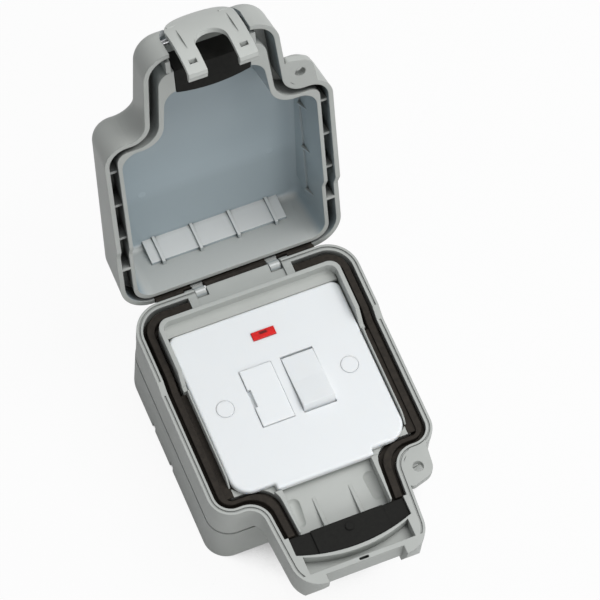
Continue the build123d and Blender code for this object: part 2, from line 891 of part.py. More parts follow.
# Lid, drawn closed: drafted shell, inner wall, ribs, latch opening, hinge knuckles and ear
with BuildPart() as lid:
    extrude(outline(lid_edge, 0), amount=lid_depth, taper=lid_draft)
    extrude(front_profile(0), amount=through, both=True, mode=Mode.SUBTRACT)
    fillet(lid.faces().filter_by(lambda face: face.normal_at().Z > 0.9).edges(), radius=lid_front_r)
    extrude(outline(lid_edge, lid_wall), amount=lid_channel_depth, taper=lid_draft, mode=Mode.SUBTRACT)
    inner_set_in = lid_wall + lid_channel_w
    inner_hinge = lid_wall + lid_hinge_channel_w
    inner_shoulder = lid_wall + lid_shoulder_channel_w
    extrude(
        outline(lid_edge, inner_set_in, inner_hinge, inner_shoulder, latch_pocket_to_end),
        amount=lid_channel_depth,
        taper=lid_draft,
    )
    rib_rows = [n * lid_rib_pitch / 2 for n in (-3, -1, 1, 3)]
    rib_x = half_width - lid_wall - lid_channel_w / 2 - lid_rib_bite
    for x in (-1, 1):
        for y in rib_rows:
            with Locations((x * rib_x, y, lid_edge + lid_rib_recess)):
                Box(
                    lid_channel_w + 2 * lid_rib_bite,
                    lid_rib_t,
                    lid_channel_depth - lid_rib_recess,
                    align=(Align.CENTER, Align.CENTER, Align.MIN),
                )
        with Locations((x * (catch_half + cheek_t / 2), -latch_pocket_end, lid_edge)):
            Box(
                cheek_t,
                latch_pocket_to_end - cheek_end_in,
                lid_channel_depth,
                align=(Align.CENTER, Align.MAX, Align.MIN),
            )
    add(lid_space.part, mode=Mode.SUBTRACT)

    # Step on the hinge side, then the latch opening and the gap for the lid's cable seal
    extrude(
        step_region(lid_edge, lid_edge_high, 0), amount=through, both=True, mode=Mode.SUBTRACT
    )
    extrude(
        latch_shape(catch_half - latch_half, latch_top_gap, 0).moved(
            Location((0, -latch_pocket_end, 0))
        ),
        amount=through,
        dir=(0, -1, 0),
        mode=Mode.SUBTRACT,
    )
    with Locations((0, -latch_pocket_end - loose, lid_edge)):
        Box(
            2 * (cable_seal_half + loose),
            latch_pocket_end - cavity_end + lid_seal_bow + lid_seal_lap + 2 * loose,
            lid_seal_depth,
            align=(Align.CENTER, Align.MIN, Align.MIN),
            mode=Mode.SUBTRACT,
        )

    # Bore for the latch pin in the cheeks
    latch_axis_y = latch_axis_in - tongue_reach
    latch_axis_z = lid_edge + latch_axis_up
    with BuildSketch(Plane.YZ):
        with Locations((latch_axis_y, latch_axis_z)):
            Circle(latch_pin_r + running)
    extrude(amount=latch_pin_half + loose, both=True, mode=Mode.SUBTRACT)

    # Hinge knuckles, joined to the hinge wall
    for x in (-barrel_half, barrel_half - knuckle_l):
        with BuildSketch(Plane.YZ.offset(x)):
            with Locations((axis_y, axis_z)):
                Circle(barrel_r)
            with Locations((hinge_reach - lid_wall, axis_z)):
                Rectangle(
                    lid_wall - running,
                    lid_edge_high - axis_z + lid_wall,
                    align=(Align.MIN, Align.MIN),
                )
        extrude(amount=knuckle_l)
        with BuildSketch(Plane.YZ.offset(x)):
            with Locations((axis_y, axis_z)):
                Circle(hinge_pin_r + running)
        extrude(amount=knuckle_l, mode=Mode.SUBTRACT)

    # Padlock ear
    with BuildSketch(Plane.XY.offset(lid_edge)):
        add(ear_outline(0))
        add(outline(0, lid_wall / 2), mode=Mode.SUBTRACT)
        with Locations((padlock_x, padlock_y)):
            Circle(ear_hole_r, mode=Mode.SUBTRACT)
    extrude(amount=ear_t)
lid_open = open_pose(lid.part)
lid_open.label = "lid"

# Rubber cable seal in the lid, bowed towards the hinge
with BuildPart() as lid_cable_seal:
    with BuildSketch(Plane.XY.offset(lid_edge)):
        with BuildLine():
            Polyline(
                (-cable_seal_half, lid_seal_lap - cavity_end),
                (-cable_seal_half, -latch_pocket_end),
                (cable_seal_half, -latch_pocket_end),
                (cable_seal_half, lid_seal_lap - cavity_end),
            )
            ThreePointArc(
                (cable_seal_half, lid_seal_lap - cavity_end),
                (0, lid_seal_lap + lid_seal_bow - cavity_end),
                (-cable_seal_half, lid_seal_lap - cavity_end),
            )
        make_face()
    extrude(amount=lid_seal_depth)
lid_cable_seal_open = open_pose(lid_cable_seal.part)
lid_cable_seal_open.label = "lid_cable_seal"

# Pin through the lid's cheeks that the latch turns on
with BuildPart() as latch_pin:
    with BuildSketch(Plane.YZ):
        with Locations((latch_axis_y, latch_axis_z)):
            Circle(latch_pin_r)
    extrude(amount=latch_pin_half, both=True)
latch_pin_open = open_pose(latch_pin.part)
latch_pin_open.label = "latch_pin"

# Latch: curved plate with a cable notch, two hooked legs and pivot bosses
with BuildPart() as latch:
    leg_end = lid_edge - latch_below_edge
    foot_y = latch_foot_in - tongue_reach
    bulge_y = -tongue_reach - latch_bulge
    apex_y = latch_apex_in - tongue_reach
    bulge_z = lid_edge + latch_bulge_up
    apex_z = lid_edge + latch_apex
    with BuildSketch(Plane.YZ):
        with BuildLine():
            ThreePointArc((foot_y, leg_end), (bulge_y, bulge_z), (apex_y, apex_z))
            Line((apex_y, apex_z), (apex_y + latch_t, apex_z))
            ThreePointArc(
                (foot_y + latch_t, leg_end),
                (bulge_y + latch_t, bulge_z),
                (apex_y + latch_t, apex_z),
            )
            Line((foot_y, leg_end), (foot_y + latch_t, leg_end))
        make_face()
    extrude(amount=latch_half, both=True)
    with BuildSketch(Plane.YZ):
        with BuildLine():
            Polyline(
                (foot_y + latch_t / 2, leg_end),
                (foot_y + latch_t + latch_hook, leg_end + latch_hook_h / 2),
                (foot_y + latch_t + latch_hook, leg_end + latch_hook_h),
                (foot_y, leg_end + latch_hook_h),
                close=True,
            )
        make_face()
    extrude(amount=latch_half, both=True)
    extrude(latch_shape(0, 0, leg_end), amount=2 * tongue_reach, dir=(0, -1, 0), mode=Mode.INTERSECT)
    with BuildSketch(Plane.XZ):
        with Locations((0, leg_end)):
            SlotCenterToCenter(
                2 * (latch_notch_h - latch_notch_half), 2 * latch_notch_half, rotation=90
            )
        with Locations((0, leg_end + latch_window_up)):
            with GridLocations(latch_half + latch_notch_half, 0, 2, 1):
                Rectangle(latch_window_l, latch_window_h)
    extrude(amount=2 * tongue_reach, mode=Mode.SUBTRACT)
    for x in (-latch_groove_x, latch_groove_x):
        with BuildSketch(Plane.YZ.offset(x)):
            with BuildLine():
                Polyline(
                    (bulge_y + latch_groove_depth, leg_end + latch_groove_from),
                    (bulge_y + latch_groove_depth, leg_end + latch_groove_to),
                    (bulge_y - latch_t, leg_end + latch_groove_to),
                    (bulge_y - latch_t, leg_end + latch_groove_from),
                    close=True,
                )
            make_face()
        extrude(amount=latch_groove_w / 2, both=True, mode=Mode.SUBTRACT)
    for x in (-latch_boss_x, latch_boss_x):
        with BuildSketch(Plane.YZ.offset(x)):
            with Locations((latch_axis_y, latch_axis_z)):
                Circle(latch_boss_r)
            with Locations((bulge_y + latch_t, latch_axis_z)):
                Circle(latch_t / 2)
            make_hull()
        extrude(amount=latch_boss_t / 2, both=True)
    with BuildSketch(Plane.YZ):
        with Locations((latch_axis_y, latch_axis_z)):
            Circle(latch_pin_r + running)
    extrude(amount=latch_half, both=True, mode=Mode.SUBTRACT)
latch_axis = Axis((0, latch_axis_y, latch_axis_z), (1, 0, 0))
latch_open = open_pose(latch.part.rotate(latch_axis, -latch_release_deg))
latch_open.label = "latch"

# Hinge pins, one through each arm and knuckle
with BuildPart() as hinge_pin:
    for x in (-barrel_half - arm_gap - arm_t, barrel_half - knuckle_l):
        with BuildSketch(Plane.YZ.offset(x)):
            with Locations((axis_y, axis_z)):
                Circle(hinge_pin_r)
        extrude(amount=knuckle_l + arm_gap + arm_t)
hinge_pin.part.label = "hinge_pin"

# White plate with openings for rocker, fuse carrier, neon and screws
with BuildPart() as accessory_plate:
    with BuildSketch(Plane.XY.offset(plate_under)):
        with BuildLine():
            FilletPolyline(
                (plate_half, plate_top),
                (-plate_half, plate_top),
                (-plate_half, -plate_shoulder),
                (-plate_tab_half, -plate_shoulder),
                (-plate_tab_half, -plate_bottom),
                (plate_tab_half, -plate_bottom),
                (plate_tab_half, -plate_shoulder),
                (plate_half, -plate_shoulder),
                radius=[
                    plate_corner_r,
                    plate_corner_r,
                    plate_low_corner_r,
                    smallest_r,
                    smallest_r,
                    smallest_r,
                    smallest_r,
                    plate_low_corner_r,
                ],
                close=True,
            )
        make_face()
    extrude(amount=plate_skin)
    fillet(accessory_plate.faces().sort_by(Axis.Z)[-1].edges(), radius=plate_edge_r)
    with BuildSketch(Plane.XY.offset(floor_top)):
        skirt_l = plate_skirt_top - plate_skirt_low
        with Locations((0, (plate_skirt_top + plate_skirt_low) / 2)):
            Rectangle(2 * plate_skirt_half, skirt_l)
            Rectangle(
                2 * (plate_skirt_half - plate_skirt_t),
                skirt_l - 2 * plate_skirt_t,
                mode=Mode.SUBTRACT,
            )
        with GridLocations(screw_spacing, 0, 2, 1):
            Circle(cap_r + boss_wall)
    extrude(amount=plate_under - floor_top)
    with BuildSketch(Plane.XY.offset(plate_under)):
        with GridLocations(2 * key_x, 0, 2, 1):
            Rectangle(2 * key_half_w, 2 * key_half_l)
        with Locations((0, neon_y)):
            Rectangle(2 * (neon_half_l + neon_gap), 2 * (neon_half_w + neon_gap))
    extrude(amount=plate_skin, mode=Mode.SUBTRACT)
    cap_seat = plate_face + cap_proud - cap_h
    for radius, level in (
        (cap_r + neon_gap, cap_seat),
        (screw_head_r + neon_gap, cap_seat - screw_head_h - neon_gap),
        (screw_r + neon_gap, floor_top),
    ):
        with BuildSketch(Plane.XY.offset(level)):
            with GridLocations(screw_spacing, 0, 2, 1):
                Circle(radius)
        extrude(amount=through, mode=Mode.SUBTRACT)
accessory_plate.part.label = "accessory_plate"

# Screws that hold the plate, their caps and the threaded inserts in the frame
with BuildPart() as plate_screws:
    head_base = cap_seat - screw_head_h - neon_gap
    with BuildSketch(Plane.XY.offset(head_base)):
        with GridLocations(screw_spacing, 0, 2, 1):
            Circle(screw_head_r)
    extrude(amount=screw_head_h)
    with BuildSketch(Plane.XY.offset(head_base)):
        with GridLocations(screw_spacing, 0, 2, 1):
            Circle(screw_r)
    extrude(amount=-screw_length)
plate_screws.part.label = "plate_screws"

with BuildPart() as screw_caps:
    with BuildSketch(Plane.XY.offset(cap_seat)):
        with GridLocations(screw_spacing, 0, 2, 1):
            Circle(cap_r)
    extrude(amount=cap_h)
    fillet(screw_caps.faces().filter_by(Axis.Z).group_by(Axis.Z)[-1].edges(), radius=cap_proud)
screw_caps.part.label = "screw_caps"

with BuildPart() as plate_inserts:
    with BuildSketch(Plane.XY.offset(floor_top - insert_l)):
        with GridLocations(screw_spacing, 0, 2, 1):
            Circle(insert_r)
            Circle(screw_r + running, mode=Mode.SUBTRACT)
    extrude(amount=insert_l)
plate_inserts.part.label = "plate_inserts"

# Screws that hold the front frame to the posts of the back box
with BuildPart() as frame_screws:
    with BuildSketch(Plane.XY.offset(floor_top)):
        with Locations(*posts):
            Circle(frame_head_r)
    extrude(amount=frame_head_h)
    with BuildSketch(Plane.XY.offset(floor_top)):
        with Locations(*posts):
            Circle(frame_screw_r)
    extrude(amount=-frame_screw_l)
frame_screws.part.label = "frame_screws"

# Housing for the switch, the fuse, the neon and the terminals
terminal_x = [n * terminal_pitch for n in (-2, -1, 0, 1, 2)]
rocker_axis_z = plate_face - rocker_axis_below
with BuildPart() as module_housing:
    with BuildSketch(Plane.XY.offset(module_bottom)):
        with Locations((0, (module_high + module_low) / 2)):
            RectangleRounded(2 * module_half, module_high - module_low, smallest_r)
    extrude(amount=plate_under - module_bottom)
    with BuildSketch(Plane.XY.offset(cell_floor)):
        with GridLocations(2 * key_x, 0, 2, 1):
            Rectangle(2 * (key_half_w + key_gap), 2 * (key_half_l + cell_gap))
    extrude(amount=through, mode=Mode.SUBTRACT)
    with BuildSketch(Plane.XY.offset(plate_under - neon_cell_depth)):
        with Locations((0, neon_y)):
            Rectangle(
                2 * (neon_half_l + neon_flange + neon_gap),
                2 * (neon_half_w + neon_flange + neon_gap),
            )
    extrude(amount=through, mode=Mode.SUBTRACT)
    with BuildSketch(Plane.XY.offset(module_bottom)):
        with Locations((0, terminal_y)):
            with GridLocations(terminal_pitch, 0, 5, 1):
                Rectangle(terminal_w + 2 * terminal_gap, terminal_w + 2 * terminal_gap)
    extrude(amount=terminal_h + terminal_gap, mode=Mode.SUBTRACT)
    with BuildSketch(Plane.XZ.offset(-terminal_y)):
        with Locations((0, module_bottom + wire_hole_up)):
            with GridLocations(terminal_pitch, 0, 5, 1):
                Circle(wire_hole_r + terminal_gap)
    extrude(amount=through, mode=Mode.SUBTRACT)
    pin_from = key_x - key_half_w - key_gap - boss_wall
    pin_to = key_x + key_half_w + key_gap + boss_wall
    with BuildSketch(Plane.YZ.offset(pin_from)):
        with Locations((0, rocker_axis_z)):
            Circle(rocker_pin_r + running)
    extrude(amount=pin_to - pin_from, mode=Mode.SUBTRACT)
module_housing.part.label = "module_housing"

# Terminal blocks in a row, the earth block in the middle, and their screws
live_x = [x for x in terminal_x if x != 0]


def terminal_blocks(places):
    """Square brass blocks with a wire hole across and a screw hole from the back."""
    with BuildPart() as blocks:
        with BuildSketch(Plane.XY.offset(module_bottom)):
            with Locations(*[(x, terminal_y) for x in places]):
                Rectangle(terminal_w, terminal_w)
                Circle(terminal_screw_r + running, mode=Mode.SUBTRACT)
        extrude(amount=wire_hole_up)
        with BuildSketch(Plane.XY.offset(module_bottom + wire_hole_up)):
            with Locations(*[(x, terminal_y) for x in places]):
                Rectangle(terminal_w, terminal_w)
        extrude(amount=terminal_h - wire_hole_up)
        with BuildSketch(Plane.XZ.offset(-terminal_y)):
            with Locations(*[(x, module_bottom + wire_hole_up) for x in places]):
                Circle(wire_hole_r)
        extrude(amount=terminal_w, both=True, mode=Mode.SUBTRACT)
    return blocks.part


terminals = terminal_blocks(live_x)
terminals.label = "terminals"
earth_terminal = terminal_blocks([0])
earth_terminal.label = "earth_terminal"

with BuildPart() as terminal_screws:
    with BuildSketch(Plane.XY.offset(module_bottom)):
        with Locations(*[(x, terminal_y) for x in terminal_x]):
            Circle(terminal_screw_r)
    extrude(amount=terminal_screw_l)
    with BuildSketch(Plane.XY.offset(module_bottom)):
        with Locations(*[(x, terminal_y) for x in terminal_x]):
            Circle(terminal_head_r)
    extrude(amount=-terminal_head_h)
terminal_screws.part.label = "terminal_screws"

# Neon lens with a flange under the plate, and the lamp behind it
with BuildPart() as neon_lens:
    with BuildSketch(Plane.XY.offset(plate_under)):
        with Locations((0, neon_y)):
            Rectangle(2 * neon_half_l, 2 * neon_half_w)
    extrude(amount=plate_skin + neon_proud)
    with BuildSketch(Plane.XY.offset(plate_under)):
        with Locations((0, neon_y)):
            Rectangle(2 * (neon_half_l + neon_flange), 2 * (neon_half_w + neon_flange))
    extrude(amount=-neon_flange_t)
neon_lens.part.label = "neon_lens"

with BuildPart() as neon_lamp:
    with BuildSketch(Plane.YZ):
        with Locations((neon_y, plate_under - neon_cell_depth + lamp_r + neon_gap)):
            Circle(lamp_r)
    extrude(amount=lamp_half, both=True)
    fillet(neon_lamp.edges(), radius=lamp_r / 2)
neon_lamp.part.label = "neon_lamp"

# Rocker on its pin, drawn level and then tilted to the position at rest
rocker_axis = Axis((0, 0, rocker_axis_z), (1, 0, 0))
pole_x = [key_x - pole_offset, key_x + pole_offset]
with BuildPart() as rocker:
    end_y = sqrt(rocker_r**2 - rocker_end_h**2)
    under_y = sqrt(rocker_r**2 - rocker_under**2)
    with BuildSketch(Plane.YZ.offset(key_x)):
        with BuildLine():
            Polyline(
                (-end_y, rocker_axis_z + rocker_end_h),
                (0, rocker_axis_z + rocker_end_h - rocker_dip),
                (end_y, rocker_axis_z + rocker_end_h),
            )
            ThreePointArc(
                (end_y, rocker_axis_z + rocker_end_h),
                (rocker_r, rocker_axis_z),
                (under_y, rocker_axis_z - rocker_under),
            )
            Line(
                (under_y, rocker_axis_z - rocker_under),
                (-under_y, rocker_axis_z - rocker_under),
            )
            ThreePointArc(
                (-under_y, rocker_axis_z - rocker_under),
                (-rocker_r, rocker_axis_z),
                (-end_y, rocker_axis_z + rocker_end_h),
            )
        make_face()
    extrude(amount=key_half_w - key_gap, both=True)
    with BuildSketch(Plane.XY.offset(rocker_axis_z - rocker_under)):
        with Locations(*[(x, 0) for x in pole_x]):
            Circle(stem_r)
    extrude(amount=-stem_l)
    stem_end = rocker_axis_z - rocker_under - stem_l
    with BuildSketch(Plane.XY.offset(stem_end)):
        with Locations(*[(x, 0) for x in pole_x]):
            Circle(plunger_r + running)
    extrude(amount=plunger_in + running, mode=Mode.SUBTRACT)
    with BuildSketch(Plane.YZ.offset(key_x)):
        with Locations((0, rocker_axis_z)):
            Circle(rocker_pin_r + running)
    extrude(amount=key_half_w, both=True, mode=Mode.SUBTRACT)
rocker_rest = rocker.part.rotate(rocker_axis, -rocker_tilt_deg)
rocker_rest.label = "rocker"

with BuildPart() as rocker_pin:
    with BuildSketch(Plane.YZ.offset(pin_from)):
        with Locations((0, rocker_axis_z)):
            Circle(rocker_pin_r)
    extrude(amount=pin_to - pin_from)
rocker_pin.part.label = "rocker_pin"

with BuildPart() as switch_plungers:
    with BuildSketch(Plane.XY.offset(stem_end - plunger_out)):
        with Locations(*[(x, 0) for x in pole_x]):
            Circle(plunger_r)
    extrude(amount=plunger_out + plunger_in)
    fillet(switch_plungers.faces().filter_by(Axis.Z).group_by(Axis.Z)[0].edges(), radius=plunger_r / 2)
switch_plungers_rest = switch_plungers.part.rotate(rocker_axis, -rocker_tilt_deg)
switch_plungers_rest.label = "switch_plungers"

# See-saw contacts, their fulcrums and the contacts that they close on
contact_axis = Axis((0, 0, contact_axis_z), (1, 0, 0))
with BuildPart() as moving_contacts:
    with BuildSketch(Plane.XY.offset(contact_axis_z - contact_t / 2)):
        with Locations(*[(x, 0) for x in pole_x]):
            RectangleRounded(contact_w, 2 * contact_half, smallest_r)
    extrude(amount=contact_t)
    with BuildSketch(Plane.XY.offset(contact_axis_z - contact_t / 2)):
        with Locations(*[(x, contact_half - button_in) for x in pole_x]):
            Circle(button_r)
    extrude(amount=-button_h)
    for x in pole_x:
        with BuildSketch(Plane.YZ.offset(x)):
            with Locations((0, contact_axis_z)):
                Circle(knuckle_r)
            with Locations((0, contact_axis_z + contact_t / 2)):
                Rectangle(
                    2 * knuckle_r,
                    knuckle_r,
                    align=(Align.CENTER, Align.MIN),
                    mode=Mode.SUBTRACT,
                )
        extrude(amount=contact_w / 2, both=True)
moving_contacts_rest = moving_contacts.part.rotate(contact_axis, contact_tilt_deg)
moving_contacts_rest.label = "moving_contacts"

with BuildPart() as fixed_contacts:
    contact_drop = (contact_half + button_r) * sin(radians(contact_tilt_deg))
    post_top = contact_axis_z - contact_t / 2 - button_h - contact_drop - running
    with BuildSketch(Plane.XY.offset(cell_floor)):
        with Locations(*[(x, contact_half - button_in) for x in pole_x]):
            Circle(button_r)
    extrude(amount=post_top - cell_floor)
    for x in pole_x:
        with BuildSketch(Plane.YZ.offset(x)):
            with BuildLine():
                Polyline(
                    (-button_r, cell_floor),
                    (0, contact_axis_z - knuckle_r - running),
                    (button_r, cell_floor),
                    close=True,
                )
            make_face()
        extrude(amount=contact_w / 2, both=True)
fixed_contacts.part.label = "fixed_contacts"

# Fuse carrier with a pry notch, its fuse and the clips in the housing
with BuildPart() as fuse_carrier:
    carrier_top = plate_face + carrier_proud
    with BuildSketch(Plane.XY.offset(carrier_top - carrier_face_t)):
        with Locations((-key_x, 0)):
            Rectangle(2 * (key_half_w - key_gap), 2 * (key_half_l - key_gap))
    extrude(amount=carrier_face_t)
    fillet(fuse_carrier.faces().sort_by(Axis.Z)[-1].edges(), radius=carrier_proud / 2)
    with BuildSketch(Plane.XY.offset(fuse_z - saddle_below_fuse)):
        with Locations((-key_x, 0)):
            Rectangle(2 * saddle_half_w, 2 * saddle_half_l)
    extrude(amount=carrier_top - carrier_face_t - fuse_z + saddle_below_fuse)
    with BuildSketch(Plane.XZ):
        with Locations((-key_x, fuse_z)):
            Circle(fuse_r + running)
    extrude(amount=saddle_half_l, both=True, mode=Mode.SUBTRACT)
    with BuildSketch(Plane.XY.offset(carrier_top - carrier_notch_depth)):
        with Locations((-key_x - key_half_w + key_gap, 0)):
            Rectangle(2 * carrier_notch_d, carrier_notch_w)
    extrude(amount=carrier_notch_depth, mode=Mode.SUBTRACT)
fuse_carrier.part.label = "fuse_carrier"

with BuildPart() as fuse_body:
    with BuildSketch(Plane.XZ):
        with Locations((-key_x, fuse_z)):
            Circle(fuse_r)
    extrude(amount=fuse_body_half, both=True)
fuse_body.part.label = "fuse_body"

with BuildPart() as fuse_caps:
    for y in (fuse_body_half, -fuse_half):
        with BuildSketch(Plane.XZ.offset(-y)):
            with Locations((-key_x, fuse_z)):
                Circle(fuse_cap_r)
        extrude(amount=fuse_body_half - fuse_half)
fuse_caps.part.label = "fuse_caps"

with BuildPart() as fuse_clips:
    clip_half = fuse_cap_r + clip_gap
    clip_y = (fuse_body_half + fuse_half) / 2
    for y in (-clip_y, clip_y):
        with BuildSketch(Plane.XZ.offset(-y)):
            with Locations((-key_x, cell_floor)):
                Rectangle(
                    2 * (clip_half + clip_t),
                    fuse_z + clip_above - cell_floor,
                    align=(Align.CENTER, Align.MIN),
                )
            with Locations((-key_x, cell_floor + clip_t)):
                Rectangle(2 * clip_half, through, align=(Align.CENTER, Align.MIN), mode=Mode.SUBTRACT)
        extrude(amount=clip_w / 2, both=True)
fuse_clips.part.label = "fuse_clips"

pieces = [
    back_box.part,
    box_seal.part,
    front_frame.part,
    rim_seal.part,
    cable_seal.part,
    hinge_pin.part,
    lid_open,
    lid_cable_seal_open,
    latch_pin_open,
    latch_open,
    accessory_plate.part,
    plate_screws.part,
    screw_caps.part,
    plate_inserts.part,
    frame_screws.part,
    module_housing.part,
    terminals,
    earth_terminal,
    terminal_screws.part,
    neon_lens.part,
    neon_lamp.part,
    rocker_rest,
    rocker_pin.part,
    switch_plungers_rest,
    moving_contacts_rest,
    fixed_contacts.part,
    fuse_carrier.part,
    fuse_body.part,
    fuse_caps.part,
    fuse_clips.part,
]
for piece in pieces:
    export_step(piece, f"parts/{piece.label}.step")
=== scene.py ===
import json
import math

import bmesh
import bpy
from mathutils import Matrix, Vector


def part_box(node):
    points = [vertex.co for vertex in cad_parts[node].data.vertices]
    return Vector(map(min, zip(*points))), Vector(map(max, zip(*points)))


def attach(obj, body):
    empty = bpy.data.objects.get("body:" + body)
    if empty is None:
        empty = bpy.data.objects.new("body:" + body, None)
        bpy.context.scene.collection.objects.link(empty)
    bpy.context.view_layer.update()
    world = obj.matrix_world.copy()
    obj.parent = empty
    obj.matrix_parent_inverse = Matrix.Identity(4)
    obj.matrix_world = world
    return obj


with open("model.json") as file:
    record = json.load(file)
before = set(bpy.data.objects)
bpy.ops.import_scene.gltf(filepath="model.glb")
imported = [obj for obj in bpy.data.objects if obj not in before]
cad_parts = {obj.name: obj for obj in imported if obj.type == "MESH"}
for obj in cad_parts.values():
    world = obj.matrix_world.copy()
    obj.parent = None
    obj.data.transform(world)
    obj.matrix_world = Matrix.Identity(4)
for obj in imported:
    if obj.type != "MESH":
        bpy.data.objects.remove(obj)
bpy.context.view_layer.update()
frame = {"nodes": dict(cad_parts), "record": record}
scene = bpy.context.scene
scene.view_settings.view_transform = "Standard"


# Facts from the frame

record = frame["record"]
slot_of = {item["node"]: item["material_slot"] for item in record["subparts"]}
plate_high = Vector(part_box("accessory_plate")[1])
hinge = next(joint for joint in record["behaviour"]["joints"] if joint["name"] == "lid_hinge")
axis_y, axis_z = hinge["pos_m"][1:]
opened = math.radians(hinge["range_deg"][1])


# Values that the materials share, with lengths in metres

edge_r = 0.0005
# Reach of the painted shade in slots, and in the lid's channels
slot_depth = 0.0025
channel_depth = 0.006
noise_range = (0.3, 0.7)
crevice_range = (0.22, 0.62)
flow_height = 0.0004
grain_height = 0.00006
dust_height = 0.0002
brush_height = 0.00008
lens_height = 0.0001
satin_specular = 0.25
rubber_specular = 0.10


# Places on the open lid that its material tells apart

lid_centre = (0.0, 0.0917, 0.0932)
lid_length_axis = (0.0, 0.309, 0.951)
# Painted shade on the lid's floor past a fold that its shape lacks, and towards the latch
fold_span = (0.101, 0.108)
fold_shade = 0.84
latch_span = (0.115, 0.160)
latch_shade = 0.64
# Painted shade in the lid's narrow channels, as a share of its outside grey
channel_shade = 0.08
inside_turn = (-0.003, 0.001)
# Inside faces that look up, on the hinge wall and the ledge, take painted light
hinge_wall_lit_turn = (0.6, 0.9)
# Level ledge faces take a painted highlight
ledge_turn = (0.982, 0.992)
ledge_half = 0.0331
ear_from_x = 0.034
ear_from_z = 0.1478
mark_r = 0.0022
mark_edge = 0.00025
mark_height = 0.0002
mark_shade = 1.1
mark_places = ((0.0175, 0.1125, 0.1279), (0.031, 0.1003, 0.0794))
mark_centres = [(side * x, y, z) for x, y, z in mark_places for side in (-1, 1)]


# Shader nodes

def new_material(name):
    """A material with its node tree, its shader and its coordinates."""
    mat = bpy.data.materials.new(name)
    mat.use_nodes = True
    tree = mat.node_tree
    shader = tree.nodes["Principled BSDF"]
    coords = tree.nodes.new("ShaderNodeTexCoord")
    return mat, tree, shader, coords


def feed(tree, socket, value):
    """Link an input to another socket, or set it to a fixed value."""
    if isinstance(value, bpy.types.NodeSocket):
        tree.links.new(value, socket)
    else:
        socket.default_value = value


def dress(tree, node, inputs):
    """Feed several inputs of a node by their names."""
    for name, value in inputs.items():
        feed(tree, node.inputs[name], value)


def noise(tree, at, scale, detail, rough=0.5):
    node = tree.nodes.new("ShaderNodeTexNoise")
    dress(tree, node, {"Vector": at, "Scale": scale, "Detail": detail, "Roughness": rough})
    return node.outputs["Fac"]


def spread(tree, value, to=(0.0, 1.0), given=noise_range):
    """A value carried from one range to another, and held at its ends."""
    node = tree.nodes.new("ShaderNodeMapRange")
    ends = zip(("From Min", "From Max", "To Min", "To Max"), (*given, *to))
    dress(tree, node, {"Value": value, **dict(ends)})
    return node.outputs["Result"]


def mix_colour(tree, factor, a, b):
    """Mix two colours, by the sockets that a mix node keeps for colour."""
    node = tree.nodes.new("ShaderNodeMix")
    node.data_type = "RGBA"
    factor_socket, first, second = (node.inputs[place] for place in (0, 6, 7))
    feed(tree, factor_socket, factor)
    for socket, colour in ((first, a), (second, b)):
        feed(tree, socket, (*colour, 1.0) if isinstance(colour, tuple) else colour)
    return node.outputs[2]


def math_node(tree, operation, *values):
    node = tree.nodes.new("ShaderNodeMath")
    node.operation = operation
    for socket, value in zip(node.inputs, values):
        feed(tree, socket, value)
    return node.outputs["Value"]


def vector_node(tree, operation, a, b, output="Value"):
    node = tree.nodes.new("ShaderNodeVectorMath")
    node.operation = operation
    feed(tree, node.inputs[0], a)
    feed(tree, node.inputs[1], b)
    return node.outputs[output]


def part_of(tree, vector, axis):
    node = tree.nodes.new("ShaderNodeSeparateXYZ")
    tree.links.new(vector, node.inputs["Vector"])
    return node.outputs[axis]


def soft_edges(tree):
    """Normal that rounds the light over sharp moulded edges."""
    node = tree.nodes.new("ShaderNodeBevel")
    node.samples = 4
    node.inputs["Radius"].default_value = edge_r
    return node.outputs["Normal"]


def crevice(tree, depth):
    """Mask for painted shade: one in the open, falling to nought in slots and channels narrower than a
    depth.
    """
    node = tree.nodes.new("ShaderNodeAmbientOcclusion")
    node.samples = 8
    node.only_local = True
    node.inputs["Distance"].default_value = depth
    return spread(tree, node.outputs["AO"], given=crevice_range)


def bump(tree, shader, reliefs, normal=None):
    """Lay reliefs, each a height with its strength and distance, over a normal."""
    for height, strength, distance in reliefs:
        node = tree.nodes.new("ShaderNodeBump")
        dress(tree, node, {"Height": height, "Strength": strength, "Distance": distance})
        if normal is not None:
            tree.links.new(normal, node.inputs["Normal"])
        normal = node.outputs["Normal"]
    tree.links.new(normal, shader.inputs["Normal"])


def shade(colour, share):
    return tuple(min(1.0, channel * share) for channel in colour)


def varied(tree, factor, colour, low, high):
    """A colour that wanders between two shades of itself."""
    return mix_colour(tree, factor, shade(colour, low), shade(colour, high))


# Materials

def plastic(name, colour, rough=0.42, grain=0.10, vary=0.05, ripple=0.04, patch=0.055, painted_crevice_shade=0.0, glow=0.0):
    """Moulded plastic with flow marks, fine grain and soft edges.

    Painted crevice shade darkens its slots and crevices, and a glow is the depth by which light seeps in.
    """
    mat, tree, shader, coords = new_material(name)
    at = coords.outputs["Object"]
    cloud = noise(tree, at, scale=32.0, detail=4.0)
    fine = noise(tree, at, scale=2600.0, detail=2.0)
    flow = noise(tree, at, scale=140.0, detail=3.0)
    tint = varied(tree, spread(tree, cloud), colour, low=1 - vary, high=1 + vary)
    # Painted shade in slots and crevices, from ambient occlusion
    if painted_crevice_shade:
        tint = mix_colour(tree, crevice(tree, slot_depth), shade(colour, 1 - painted_crevice_shade), tint)
    dress(tree, shader, {
        "Base Color": tint,
        "Roughness": spread(tree, flow, to=(rough - patch, rough + patch)),
        "Specular IOR Level": satin_specular,
    })
    if glow:
        dress(tree, shader, {
            "Subsurface Weight": 0.6,
            "Subsurface Radius": (1.0, 0.95, 0.9),
            "Subsurface Scale": glow,
        })
    bump(tree, shader, [(flow, ripple, flow_height), (fine, grain, grain_height)], soft_edges(tree))
    return mat


